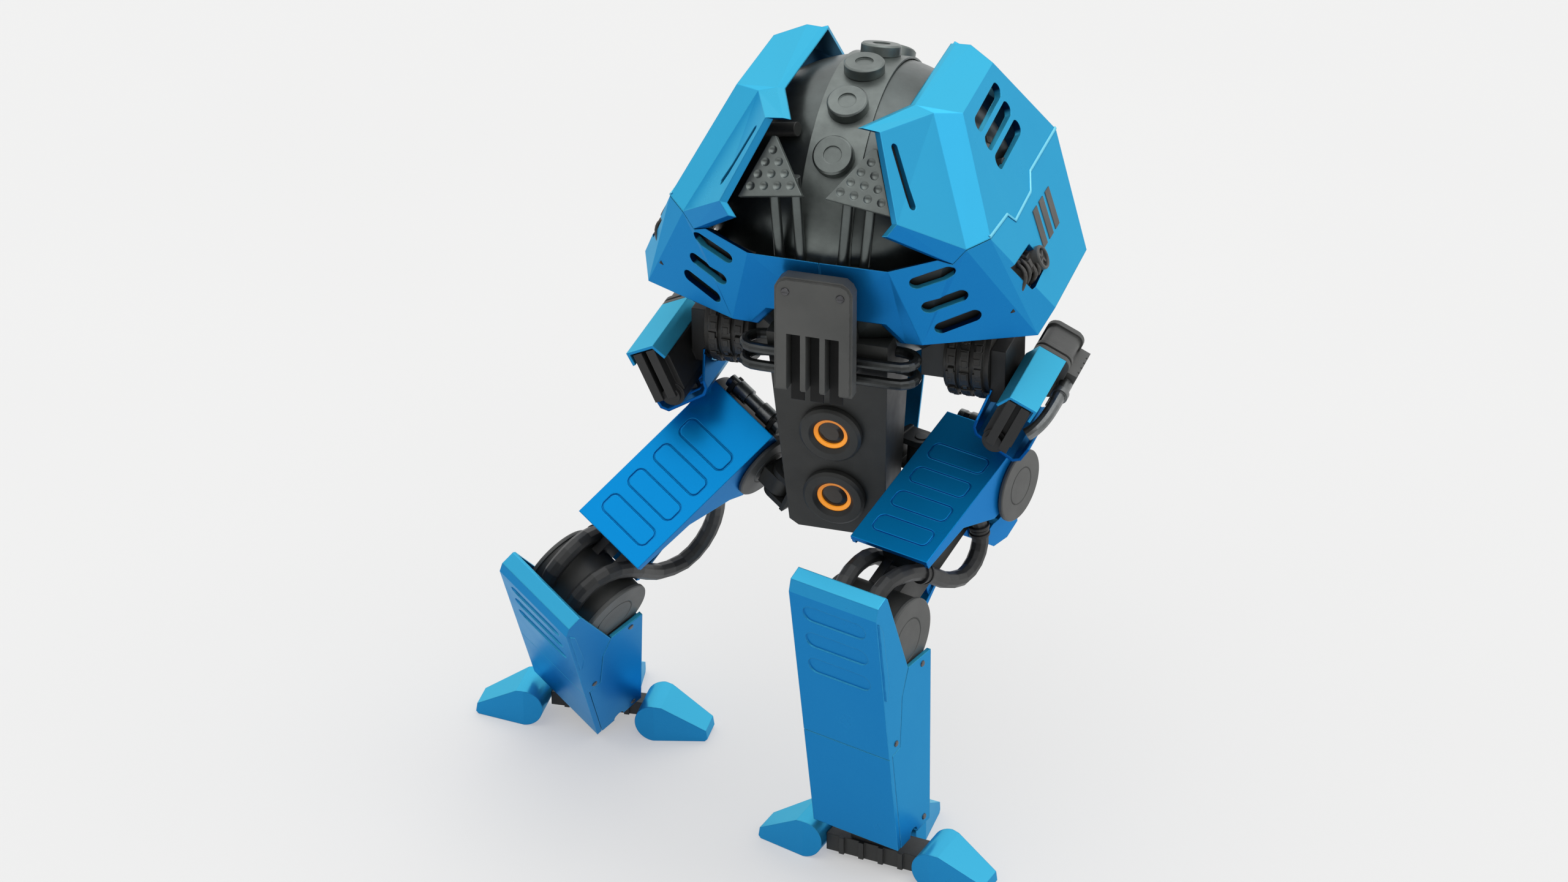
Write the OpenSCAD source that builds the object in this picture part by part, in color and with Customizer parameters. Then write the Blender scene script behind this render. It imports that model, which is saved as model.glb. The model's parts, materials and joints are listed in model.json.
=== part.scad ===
// Walking humanoid robot toy, all sizes in millimetres.
// Frame: origin on the floor under the middle, x to the robot's left, y to its back, z up.

/* [Head core] */
// Radius of the round core
core_r = 55.8; // [52:0.1:56]
// Height of the core's centre over the floor
core_z = 233; // [225:1:245]
// Half width of the grey stripe over the core
stripe_half = 10.8; // [8:0.1:13]
// Radius of a port disc
port_r = 7.4; // [5:0.1:9]
// Distance of the port faces from the core's centre
port_face = 60; // [59:0.5:62]
// Angle between two port discs
port_step = 21.5; // [18:0.5:24]
// Height angle of the lowest port disc
port_first = 42.5; // [38:0.5:46]

/* [Armour] */
// Depth of the armour along its draw direction
armour_t = 3.2; // [2.4:0.1:4]
// Gap at the armour seams
seam = 0.3; // [0.2:0.05:0.6]
// Width of the long cheek slot
cheek_slot_w = 3.2; // [2:0.1:4]
// Width of a skirt vent
vent_w = 5.4; // [2:0.1:5]
// Width of a side slot
side_slot_w = 6; // [3:0.1:6]

/* [Column] */
// Half width of the column at its top
column_top = 22.8; // [20:0.1:25]
// Half width of the column at its foot
column_foot = 18.4; // [16:0.1:20]
// Radius of a lamp bezel
bezel_r = 11.8; // [10:0.1:13]
// Outer radius of the orange ring in a lamp
glow_r = 6.5; // [5:0.1:8]
// Half width of the grille plate
grille_half = 14.5; // [12:0.5:16]
// Width of a grille slot
grille_slot = 5.2; // [4:0.1:6]

/* [Arms] */
// Roll of the forearm unit about its length
arm_roll = 25; // [15:1:35]
// Radius of the shoulder drum
drum_r = 17; // [14:0.5:19]

/* [Legs] */
// Distance from hip axis to knee axis
thigh_len = 80.7; // [75:0.1:85]
// Half width of the thigh cover
thigh_half = 16; // [14:0.1:18]
// Half width of the shin shell
shin_half = 18.2; // [17.5:0.1:20]
// Radius of the hip discs
hip_disc_r = 13.9; // [12:0.1:15]
// Radius of the knee drum
knee_r = 16.3; // [14:0.1:17]
// Radius of a hose
hose_r = 3.2; // [2.5:0.1:3.6]
// Radial clearance of the joint pins
fit = 0.05; // [0.02:0.01:0.1]

/* [Feet] */
// Length of a toe
toe_len = 27; // [24:0.5:34]
// Height of a toe at its round back
toe_h = 15; // [14:0.5:21]
// Width of a toe at its back
toe_w = 20; // [18:0.5:26]

/* [Hidden] */
off_x = 36; off_y = 26.5;
hip = [47, -10.6, -97];
ankle = [0, -10.9, -88];
// leg pose: yaw, roll, thigh pitch, shin pitch, foot yaw
pose_r = [-14.6, 3, -68.2, 13.6, -9];
pose_l = [-23, 26, -46.6, 32.6, 4];
// hose routes below each thigh: x, y, z from the hip axis
hose_path_r = [[10.8, 3, -20], [11.4, 10.5, -22], [11.9, 14.8, -28.5], [11.9, 13.4, -38], [10.9, 4.5, -47.5],
  [10.2, -7, -55], [8.8, -16.5, -64]];
hose_path_l = [[10.8, 6, -22.5], [11.6, 15.5, -28], [12.4, 22.5, -37], [12.2, 23.5, -47.5], [11, 13, -57],
  [10.4, -4, -61.5], [8.8, -16.5, -67]];
arm_at = [65, 0, -59];
drum_at = [0, -12, -46];
blue = [0, 0.45, 0.75]; dark = [0.16, 0.16, 0.16]; grey = [0.36, 0.37, 0.36];
silver = [0.62, 0.64, 0.64];

// ---------- helpers ----------
function unit(v) = v / norm(v);
function turn(t) = [t[2], t[1], t[0]];
// a triangle's corners in outward order, seen from the core's centre
function outward(p, t) = cross(p[t[1]] - p[t[0]], p[t[2]] - p[t[0]]) * (p[t[0]] + p[t[1]] + p[t[2]]) > 0
  ? t : turn(t);
// a sheet-metal shell: triangles tr on points p, drawn inward by d
module shell(p, tr, d) {
  n = len(p);
  t = [for (k = tr) outward(p, k)];
  e = [for (k = t) each [[k[0], k[1]], [k[1], k[2]], [k[2], k[0]]]];
  rim = [for (a = e) if (len([for (b = e) if (b[0] == a[1] && b[1] == a[0]) 1]) == 0) a];
  polyhedron(points = concat(p, [for (q = p) q + d]),
    faces = concat([for (k = t) turn(k)], [for (k = t) [k[0] + n, k[1] + n, k[2] + n]],
      [for (a = rim) [a[0], a[1], a[1] + n, a[0] + n]]));
}
// frame at point o: x along vector a, z along the part of n square to a
module frame(o, a, n) {
  x = unit(a);
  y = unit(cross(n, x));
  z = cross(x, y);
  multmatrix([[x[0], y[0], z[0], o[0]], [x[1], y[1], z[1], o[1]], [x[2], y[2], z[2], o[2]],
    [0, 0, 0, 1]]) children();
}
// a slot with round ends from p to q, w wide, cut along n
module slot(p, q, n, w, depth = 12) {
  l = norm(q - p);
  frame(p, q - p, n) translate([0, 0, -depth / 2]) {
    translate([w / 2, -w / 2, 0]) cube([l - w, w, depth]);
    for (x = [w / 2, l - w / 2]) translate([x, 0, 0]) cylinder(r = w / 2, h = depth, $fn = 20);
  }
}
// a rod from p to q
module rod(p, q, r, fn = 24) {
  frame(p, [q[1] - p[1], p[0] - q[0], 0.001] + [0.001, 0, 0], q - p)
    cylinder(r = r, h = norm(q - p), $fn = fn);
}
// a hose of radius r through the points w, 10 sides a ring
function dir(w, i) = unit(i == 0 ? w[1] - w[0] : i == len(w) - 1 ? w[i] - w[i - 1]
  : unit(w[i + 1] - w[i]) + unit(w[i] - w[i - 1]));
module sweep(w, r, k = 10, side = [1, 0, 0]) {
  n = len(w);
  pts = [for (i = [0:n - 1]) let (t = dir(w, i), a = unit(cross(t, side)), b = cross(t, a))
    for (j = [0:k - 1]) w[i] + r * (cos(360 * j / k) * a + sin(360 * j / k) * b)];
  polyhedron(points = pts, faces = concat([[for (j = [0:k - 1]) j]],
    [[for (j = [0:k - 1]) (n - 1) * k + k - 1 - j]],
    [for (i = [0:n - 2]) for (j = [0:k - 1]) let (m = (j + 1) % k)
      each [[i * k + j, (i + 1) * k + m, i * k + m], [i * k + j, (i + 1) * k + j, (i + 1) * k + m]]]));
}
// points between hand-set ones on a smooth curve
function mid(w, i, t) = let (a = w[max(i - 1, 0)], b = w[i], c = w[i + 1], d = w[min(i + 2, len(w) - 1)])
  0.5 * ((2 * b) + (c - a) * t + (2 * a - 5 * b + 4 * c - d) * t * t + (3 * b - a - 3 * c + d) * t * t * t);
function smooth(w, m = 3) = concat([for (i = [0:len(w) - 2]) for (j = [0:m - 1]) mid(w, i, j / m)],
  [w[len(w) - 1]]);
module rbox(s, r = 1) {
  hull() for (x = [-1, 1], y = [-1, 1]) translate([x * (s[0] / 2 - r), y * (s[1] / 2 - r), 0])
    cylinder(r = r, h = s[2], center = true, $fn = 24);
}
module put() translate([off_x, off_y, core_z]) children();
module two() { children(); mirror([1, 0, 0]) children(); }

// ---------- head core ----------
module core_ball() color(dark) put() difference() {
  sphere(r = core_r, $fn = 96);
  sphere(r = core_r - 3.4, $fn = 64);
  // flat behind the skirt
  rotate([18, 0, 0]) translate([-40, -100 - 53.4, -40]) cube([80, 100, 80]);
  // sockets for the shoulder drums
  for (m = [0, 1]) mirror([m, 0, 0]) translate(drum_at) rotate([0, 90, 0]) translate([0, 0, 36.4])
    cylinder(r = drum_r + 0.6, h = 30, $fn = 60);
  // groove for the stripe
  rotate([0, 90, 0]) difference() {
    cylinder(r = 60, h = 2 * stripe_half, center = true, $fn = 96);
    cylinder(r = core_r - 0.6, h = 30, center = true, $fn = 96);
  }
}
module core_stripe() color(grey) put() difference() {
  rotate([0, 90, 0]) difference() {
    cylinder(r = core_r + 0.2, h = 2 * stripe_half - 1, center = true, $fn = 96);
    cylinder(r = core_r - 0.6, h = 30, center = true, $fn = 96);
  }
  translate([-30, -80, -90]) cube([60, 160, 90 - 2]);
}
module port_discs() color(grey) put() for (i = [0:4])
  rotate([90 - port_first - i * port_step, 0, 0]) difference() {
    union() {
      translate([0, 0, core_r]) cylinder(r = port_r, h = port_face - core_r - 0.6, $fn = 48);
      translate([0, 0, port_face - 0.6]) cylinder(r1 = port_r, r2 = port_r - 0.6, h = 0.6, $fn = 48);
    }
    translate([0, 0, port_face - 0.7]) cylinder(r = 3.3, h = 2, $fn = 32);
    rotate([0, 90, 0]) cylinder(r = core_r + 0.25, h = 40, center = true, $fn = 96);
  }

// ---------- armour ----------
draw = armour_t * [-0.754, 0.553, -0.352];
tib = [25.5, 26, 57]; tmb = [31, 26.5, 57]; tob = [41.4, 19, 54.5]; tof = [42, -23.5, 53.3];
fot = [32.5, -28, 54]; tif = [25.5, -27.5, 56]; tip = [14.5, -56, 58]; ffi = [21, -56.5, 57.5];
cli = [32.5, -74, 31.5]; clt = [29, -74.5, 26.5]; jc = [48, -56, 10]; k1 = [52.5, -54.5, 15.5];
sft = [59.5, -48, 17.9]; s4 = [60, -26.5, 17]; s5 = [62, -22.3, 12.9]; s3 = [61.5, 0.5, 13.8];
s2 = [59.3, 7.7, 18.4]; sbt = [59, 45, 19]; sbl = [77.05, 23.5, -17.5]; sfl = [77.5, -23.5, -18.5];
ol = [73.5, -32, -26]; fb = [35.5, -50, -27]; skl = [29, -48.5, -28]; ch = [22.5, -51.5, -20];
s0 = [0, -60.5, 5.5]; skc = [26, -62, 6.5]; jj = [43, -58, 12]; c0 = [0, -51.5, -20];
side_n = [0.896, 0, 0.444];
cheek_n = [0.764, -0.326, 0.557];
vent_n = [0.38, -0.89, -0.24];
module armour_upper() difference() {
  shell([tib, tmb, tob, tof, fot, tif, tip, ffi, cli, clt, jc, k1, sft, s4, s5, s3, s2, sbt],
    [[0, 1, 5], [1, 2, 5], [2, 3, 5], [3, 4, 5], [5, 4, 6], [4, 7, 6], [7, 4, 8], [4, 11, 8],
     [8, 11, 10], [8, 10, 9], [4, 3, 11], [3, 12, 11], [3, 13, 12], [3, 14, 13], [3, 15, 14],
     [3, 16, 15], [3, 2, 16], [2, 17, 16]], draw);
  for (i = [0:2]) let (z = 46.3 - 7.3 * i, x = 42 + 0.495 * (53.3 - z))
    slot([x, -18 + i, z - 0.6], [x - 0.6, 14.5 + i, z + 1], side_n, side_slot_w, 16);
  slot([26.3, -54.3, 53.4], [36.1, -63.7, 33], cheek_n, cheek_slot_w, 16);
}
module armour_lower() {
  g = [0, 0, -seam];
  difference() {
    intersection() {
      shell([s0, skc, jj + g, jc + g, k1 + g, sft + g, s4 + g, s5 + g, s3 + g, s2 + g, sbt + g,
        sbl, sfl, ol, fb, skl, ch, c0],
        [[0, 1, 17], [1, 16, 17], [1, 15, 16], [1, 14, 15], [1, 2, 14], [2, 3, 14], [3, 4, 14],
         [4, 13, 14], [4, 5, 13], [5, 12, 13], [5, 6, 7], [5, 7, 12], [7, 8, 12], [8, 11, 12],
         [8, 9, 10], [8, 10, 11]], draw);
      translate([seam / 2, -120, -60]) cube([120, 240, 120]);
    }
    slot([33, -58.3, 0.3], [48.5, -54.5, 7.4], vent_n, vent_w, 18);
    slot([36, -53.3, -10.2], [51.6, -48.4, -4.2], vent_n, vent_w, 18);
    slot([40, -49.5, -20.4], [55, -43.2, -13.6], vent_n, vent_w, 18);
    // diamond window on the fold
    frame([69, -29, -1.3], [0, 1, 0], side_n) translate([0, 0, -12]) linear_extrude(24)
      polygon([[9, 5.7], [14.1, -5.5], [-3.6, -6.8], [-11.9, 6.4]]);
  }
}
module armour_upper_r() color(blue) put() armour_upper();
module armour_upper_l() color(blue) put() mirror([1, 0, 0]) armour_upper();
module armour_lower_r() color(blue) put() armour_lower();
module armour_lower_l() color(blue) put() mirror([1, 0, 0]) armour_lower();
module armour_rear() color(blue) put() two()
  shell([[24, 30, 56], [36, 26, 53], [54, 46, 19], [68, 34, -14], [50, 50, -22], [24, 57, 30],
    [27, 62, 2]],
    [[0, 1, 5], [1, 2, 5], [2, 6, 5], [2, 3, 6], [3, 4, 6]], [-0.6, -1.8, -0.9]);
module armour_pegs() color(dark) put() two() difference() {
  union() {
    rod([49.2, -6, 24.4], [53.5, -6, 26.6], 3);
    rod([49.2, 16, 20], [55.5, 18, 22.6], 3);
    rod([53.9, -12, -9], [67.3, -12, -4.6], 3.5);
    // pin between cheek and core
    rod([15.5, -35.5, 44.5], [47.4, -29, 36.8], 2.6);
    // round knob behind the diamond window
    rod([46.5, -29.5, -8], [64, -33, -2.2], 4);
    rod([59, -32, -3.9], [65.6, -33.3, -1.7], 5);
    rod([26, 46, 16.5], [29, 52.5, 18.6], 3);
    // dark plate behind the window
    frame([69, -29, -1.3], [0, 1, 0], side_n) translate([-10.5, -10.5, -9.4]) cube([29, 21, 1.6]);
    // dark liner behind the vents
    shell([[24.8, -57.6, 4], [44, -54, 8], [49, -51, 11], [69, -30, -23], [36.5, -46.6, -24]],
      [[0, 1, 4], [1, 2, 4], [2, 3, 4]], [-0.4, 1, 0.3]);
  }
  sphere(r = core_r, $fn = 96);
  armour_upper();
  armour_lower();
}
// ---------- emitters ----------
pa = [18.5, -54, 49.7]; pb = [28, -66.5, 30.6]; pc = [4.3, -67, 34.3];
pad_n = unit(cross(pb - pa, pc - pa));
module emitter_pads() color(grey) put() two() {
  n = pad_n;
  x = unit(pb - pc);
  m = (pb + pc) / 2;
  h = norm(pa - m);
  w = norm(pb - pc) / 2;
  frame(m, x, n[1] < 0 ? n : -n) difference() {
    translate([0, 0, -2.6]) linear_extrude(2.6)
      polygon([[-w, 0], [w, 0], [w - 0.8, 1.4], [0.7, h], [-0.7, h], [0.8 - w, 1.4]]);
    for (r = [0:3]) for (i = [0:3 - r]) translate([(i - (3 - r) / 2) * 5, 3.6 + r * 4.3, 1.4])
      sphere(r = 2.1, $fn = 16);
  }
}
module pad_rods() color(grey) put() two() difference() {
  union() {
    rod([18.3, -55.8, 34], [15.6, -56.5, 3], 1.9);
    rod([10.1, -56.2, 36], [7.6, -56.9, 3], 1.9);
    rod([14, -54.2, 30], [14, -58.5, 32], 1.5);
    translate([5, -57, 0.6]) cube([14, 1.2, 3]);
    rod([8, -52, 2.4], [8, -56.4, 2.4], 1.3);
    rod([16, -50, 2.4], [16, -56.4, 2.4], 1.3);
  }
  sphere(r = core_r, $fn = 96);
  rotate([0, 90, 0]) cylinder(r = core_r + 0.2, h = 2 * stripe_half - 1, center = true, $fn = 96);
}
// ---------- column ----------
// y of the column's front at height z
function front(z) = -43.2 - 0.173 * (z + 71);
// hip frame for one leg, x outward
module leg(s) {
  p = s > 0 ? pose_r : pose_l;
  translate([s * hip[0], hip[1], hip[2]]) rotate([0, p[1], p[0]]) scale([s, 1, 1]) children();
}
module column_hull() hull() {
  translate([0, 0, -30]) linear_extrude(0.1) polygon([[-column_top, front(-30)],
    [column_top, front(-30)], [column_top, -18], [-column_top, -18]]);
  translate([0, 0, -114]) linear_extrude(0.1) polygon([[-column_foot, front(-114)],
    [column_foot, front(-114)], [column_foot, -18], [-column_foot, -18]]);
  translate([0, 0, -116.5]) linear_extrude(0.1) polygon([[-15, front(-114) + 0.5],
    [15, front(-114) + 0.5], [15, -19], [-15, -19]]);
}
module column() color(dark) put() difference() {
  union() {
    difference() {
      column_hull();
      translate([0, -31, -76]) rotate([9.5, 0, 0]) cube([28, 13, 62], center = true);
    }
    // bracket behind the grille plate
    translate([-11, -61.4, -42]) cube([22, 16, 18]);
    // back rib and pelvis block
    translate([-14, -19, -112]) cube([28, 16, 62]);
  }
  sphere(r = 56, $fn = 64);
  // lamp seats
  for (z = [-71.1, -99.8]) translate([0, front(z), z]) rotate([100, 0, 0])
    translate([0, 0, -3]) cylinder(r = glow_r + 1.6, h = 8, $fn = 40);
  // switch opening in the back
  translate([-3.5, -10, -107.5]) cube([7, 20, 7]);
}
// hip roots on both sides of the column, each with a fork
module pelvis() color(dark) put() difference() {
  for (s = [1, -1]) {
    hull() {
      leg(s) translate([-33, -5.4, -6.7]) cube([1.5, 10.8, 13.4]);
      translate([s * 12 - 1, s > 0 ? -17 : -29, -103]) cube([2, 11, 14]);
    }
    leg(s) for (z = [4.1, -6.3]) translate([-32, 0, z]) {
      translate([0, -5, 0]) cube([7, 10, 2.2]);
      translate([7, 0, 0]) cylinder(r = 5, h = 2.2, $fn = 40);
    }
  }
  column_hull();
  translate([-14, -19, -112]) cube([28, 16, 62]);
  for (s = [1, -1]) leg(s) translate([-25, 0, -9]) cylinder(r = 2.5, h = 18, $fn = 32);
}
module grille_plate() color(grey) put() difference() {
  union() {
    translate([0, -61.5, 0]) rotate([90, 0, 0]) linear_extrude(5.4) grille_shape(0);
    translate([0, -66.9, 0]) rotate([90, 0, 0]) linear_extrude(1) grille_shape(0.9);
  }
  for (x = [-7.2, 0, 7.2]) translate([x - grille_slot / 2, -70, -50]) cube([grille_slot, 10, 29.5]);
  for (x = [-10.2, 10.2]) translate([x, -60, -3.8]) rotate([90, 0, 0]) cylinder(r = 1.2, h = 10, $fn = 24);
}
module grille_shape(e) {
  w = grille_half - e;
  polygon([[-w, -43.5 + e], [w, -43.5 + e], [w, -2.5], [w - 1.2, -0.2], [w - 3.6, 1.6 - e], [-w + 3.6, 1.6 - e],
    [-w + 1.2, -0.2], [-w, -2.5]]);
}
module grille_screws() color(dark) put() for (x = [-10.2, 10.2])
  translate([x, -60.9, -3.8]) rotate([90, 0, 0]) difference() {
    union() { cylinder(r = 1.2, h = 7, $fn = 24); translate([0, 0, 7]) cylinder(r1 = 1.6, r2 = 1.3, h = 0.5, $fn = 24); }
    translate([-2.5, -0.3, 7.3]) cube([5, 0.6, 1]);
  }
module lamp_at() for (z = [-71.1, -99.8]) put() translate([0, front(z), z]) rotate([100, 0, 0]) children();
module lamp_bezels() color(grey) lamp_at() rotate_extrude($fn = 72)
  polygon([[glow_r, -2], [glow_r + 1.5, -2], [glow_r + 1.5, 0.3], [bezel_r, 0.3], [bezel_r, 2.2],
    [bezel_r - 1, 3.2], [glow_r + 1.4, 3.2], [glow_r, 1.9]]);
module lamp_rings() color([1, 0.55, 0]) lamp_at() rotate_extrude($fn = 60)
  polygon([[glow_r - 1.5, -2], [glow_r - 0.03, -2], [glow_r - 0.03, 1.5], [glow_r - 1.5, 1.2]]);
module lamp_lenses() color([0.08, 0.04, 0.05]) lamp_at() rotate_extrude($fn = 60)
  polygon([[0, -2], [glow_r - 1.53, -2], [glow_r - 1.53, 0.6], [3, 1.2], [0, 1.4]]);
module cross_pipes() color(silver) put() two() for (z = [-36.8, -43.6])
  sweep(smooth([[11.2, -51.4, z], [20, -51.4, z], [28, -51.1, z], [31.4, -48.4, z], [32, -44.5, z],
    [30, -40.9, z], [26.5, -39.3, z], [23, -39, z]], 2), 2, 12, [0, 0, 1]);
module rear_plate() color(blue) put() {
  difference() {
    hull() {
      translate([-21.5, 8, -56]) cube([43, 1.6, 1]);
      translate([-17.5, 8, -98]) cube([35, 1.6, 1]);
    }
    for (z = [-60, -70, -80]) translate([-7, 4, z]) cube([14, 10, 3]);
  }
  translate([-5, -3, -92]) cube([10, 11.5, 6]);
}
module shoulder_axles() color(dark) put() two() difference() {
  union() {
    translate([27, -20, -55]) cube([9, 16, 17]);
    translate([30, drum_at[1], drum_at[2]]) rotate([0, 90, 0]) cylinder(r = 5, h = 26.5, $fn = 40);
  }
  sphere(r = core_r + 0.02, $fn = 96);
}
module hip_pins() color(silver) put() for (s = [1, -1]) leg(s)
  translate([-25, 0, -6.6]) cylinder(r = 2.48, h = 13.2, $fn = 32);
// ---------- inside ----------
module battery_pack() color([0.2, 0.3, 0.5]) put() for (x = [-15.5, 0, 15.5])
  translate([x, -26, -34]) rotate([-90, 0, 0]) cylinder(r = 7.2, h = 50, $fn = 40);
module main_board() color([0.05, 0.35, 0.15]) put() {
  translate([-25, -22, -24]) cube([50, 40, 1.6]);
  for (x = [-16, 2]) translate([x, -12, -22.4]) cube([12, 12, 2.4]);
  for (x = [-22, 19]) translate([x, 8, -22.4]) cube([4, 8, 6]);
}
module speaker() color([0.1, 0.1, 0.1]) put() translate([0, 8, -20]) {
  cylinder(r = 14, h = 3, $fn = 48);
  translate([0, 0, 3]) cylinder(r1 = 8, r2 = 13.4, h = 6, $fn = 48);
}
module power_switch() color([0.75, 0.1, 0.08]) put() {
  translate([-3.1, -8.9, -106]) cube([3.1, 7.6, 4]);
}
// ---------- arms ----------
module arm(s) put() scale([s, 1, 1]) children();
module pod() translate(arm_at) rotate([0, arm_roll, 0]) children();
module arm_drum(s) color(dark) arm(s) translate(drum_at) rotate([0, 90, 0]) difference() {
  union() {
    translate([0, 0, 37]) cylinder(r = drum_r - 2, h = 17, $fn = 60);
    for (z = [38.5, 43.5, 48.5]) translate([0, 0, z]) cylinder(r = drum_r, h = 3.4, $fn = 60);
  }
  cylinder(r = 5 + fit, h = 80, $fn = 40);
  for (i = [0:11]) rotate([0, 0, 30 * i]) translate([drum_r - 1, -1.3, 36]) cube([4, 2.6, 20]);
}
module drum_space() translate(drum_at) rotate([0, 90, 0]) translate([0, 0, 36])
  cylinder(r = drum_r + 0.3, h = 18.3, $fn = 60);
module arm_body(s) color(dark) arm(s) difference() {
  union() {
    translate([54.1, -24, -60]) cube([5.6, 28, 21]);
    pod() {
      translate([0, -8, 0]) rotate([90, 0, 0]) linear_extrude(34)
        polygon([[-6, -7], [5.5, -7], [5.5, 12.6], [-3.1, 12.6], [-5.6, 7.8], [-6, 6.8]]);
      for (x = [-3.8, 1.6]) translate([x, -46.6, -7.5]) cube([3.4, 6, 20]);
      translate([-1, -10, -7.4]) rotate([90, 0, 0]) cylinder(r = 4.6, h = 33, $fn = 36);
      translate([-1, -42, -7.4]) rotate([90, 0, 0]) cylinder(r = 3.4, h = 3, $fn = 36);
      // posts that carry the guard
      for (y = [-24.6, -10.4]) translate([-2, y, -14.4]) cube([4, 3, 8]);
    }
  }
  translate(drum_at) rotate([0, 90, 0]) cylinder(r = 5 + fit, h = 57, $fn = 40);
}
module arm_cover(s) color(blue) arm(s) pod() translate([0, -4.8, 0]) rotate([90, 0, 0]) linear_extrude(41.7)
  polygon([[-6.9, 8.4], [-3.9, 14], [7.3, 14], [6.9, 8.6], [5.9, 8.7], [6.2, 13], [-3.3, 13], [-6, 8]]);
module arm_guard(s) color([0, 0.25, 0.6]) arm(s) difference() {
  pod() difference() {
    translate([0, 8, 0]) rotate([90, 0, 0]) linear_extrude(42) polygon([[-11.6, -0.6], [-10.2, -12.4],
      [-8, -14.8], [8.4, -16.8], [11, -14.6], [11.8, -9], [10.8, -8.8], [10, -14], [8, -15.7],
      [-7.5, -13.7], [-9.2, -11.9], [-10.6, -0.6]]);
    translate([-20, -34, -9]) rotate([-48, 0, 0]) translate([0, -30, 0]) cube([40, 30, 40]);
    for (y = [-28, -21, -14]) translate([-4, y, -20]) cube([9, 2.6, 10]);
  }
  drum_space();
  translate([53.9, -24.2, -60.2]) cube([6, 28.4, 22]);
}
module arm_case(s) color(grey) arm(s) pod() difference() {
  union() {
    translate([2.2, 9, 5.2]) rotate([90, 0, 0]) rbox([13.4, 16, 22], 3);
    for (y = [-3.4, 0.6, 17]) translate([2.2, y, 5.2]) rotate([90, 0, 0]) rbox([15, 17.6, 2.4], 3.4);
    translate([2.2, -1.4, 5.2]) rotate([90, 0, 0]) rbox([13.4, 16, 2.4], 3);
    difference() {
      translate([8.6, -1, -9]) cube([5.2, 20, 17]);
      for (y = [2, 6, 10, 14]) translate([13, y, -10]) cube([3, 1, 20]);
    }
  }
  translate([11.4, -1, 3.7]) rotate([90, 0, 0]) cylinder(r = 3.3, h = 8, $fn = 32);
}
module arm_pipe(s) color(silver) arm(s) pod() {
  rod([11.4, -1.5, 3.6], [11.4, -9, 3], 2.5);
  rod([11.4, -8, 3.2], [11.4, -10.6, 2.9], 3.2);
  sweep(smooth([[11.4, -10, 3], [11.4, -17, 1.6], [11, -23, -1], [9.8, -27, -4], [8, -29, -7]]), 2.5,
    12, [1, 0, 0.2]);
}
// ---------- legs ----------
module thigh(s) put() leg(s) rotate([s > 0 ? pose_r[2] : pose_l[2], 0, 0]) children();
module shin(s) thigh(s) translate([0, 0, -thigh_len])
  rotate([s > 0 ? pose_r[3] - pose_r[2] : pose_l[3] - pose_l[2], 0, 0]) children();
module xrod(x, l, r, fn = 48) translate([x, 0, 0]) rotate([0, 90, 0]) cylinder(r = r, h = l, $fn = fn);
module hip_yoke(s) color(dark) put() leg(s) difference() {
  union() {
    translate([-25, 0, -3.8]) cylinder(r = 5, h = 7.6, $fn = 40);
    translate([-25, -5, -3.8]) cube([6.6, 10, 7.6]);
    xrod(-19, 27, 4);
  }
  translate([-25, 0, -9]) cylinder(r = 2.48 + fit, h = 18, $fn = 32);
}
module thigh_frame(s) color(dark) thigh(s) difference() {
  union() {
    xrod(-13.8, 27.6, 12.2);
    xrod(-16, 32, 6.5);
    translate([0, 0, -thigh_len]) xrod(-14.4, 28.8, knee_r - 0.6, 60);
    // twin struts and a top block
    for (x = [-6.6, 3.2]) translate([x, -9, -72]) cube([3.4, 15, 66]);
    translate([-7, -15, -56]) cube([14, 9, 50]);
    // arms for the crosswise link
    for (x = [-11.5, 9.6]) translate([x, 0, 0]) rotate([90, 0, 90]) linear_extrude(1.9)
      polygon([[-2, 6], [-12, 9.5], [-13.9, 13.4], [-10.5, 16.8], [-7.3, 15], [2, 10]]);
  }
  xrod(-20, 32, 4 + fit);
  translate([0, -10.5, 13.4]) xrod(-13, 26, 2.6, 32);
  translate([0, 0, -thigh_len]) {
    xrod(-14, 28, 3 + fit, 40);
    // slot for the shin's tongue, wide enough for the knee's travel
    translate([-3, 0, 0]) rotate([90, 0, 90]) linear_extrude(6) union() {
      circle(r = 8, $fn = 40);
      polygon([[-3, -10], [32, -32], [44, 0], [34, 20], [0, 9]]);
    }
  }
}
// crosswise link over the hip
module hip_link(s) color(silver) thigh(s) translate([0, -10.5, 13.4]) {
  xrod(-14, 27.5, 2.6, 32);
  for (x = [-9.2, 3.2]) xrod(x, 6, 3.3, 32);
  xrod(-14, 2.4, 3.1, 32);
}
module joint_discs(s) color(grey) thigh(s) difference() {
  union() {
    for (m = [0, 1]) mirror([m, 0, 0]) {
      translate([16.35, 0, 0]) rotate([0, 90, 0]) disc_cap(hip_disc_r, 1.5, hip_disc_r * 0.52);
      translate([14.4, 0, -thigh_len]) rotate([0, 90, 0]) disc_cap(knee_r, 1.5, knee_r * 0.54);
    }
  }
  translate([-30, 0, 0]) xrod(0, 30, 4 + fit);
}
module disc_cap(r, h, g) rotate_extrude($fn = 72) polygon([[0, 0], [r, 0], [r, h - 0.4], [r - 0.4, h],
  [g + 0.35, h], [g, h - 0.5], [g - 0.35, h], [0, h]]);
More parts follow.
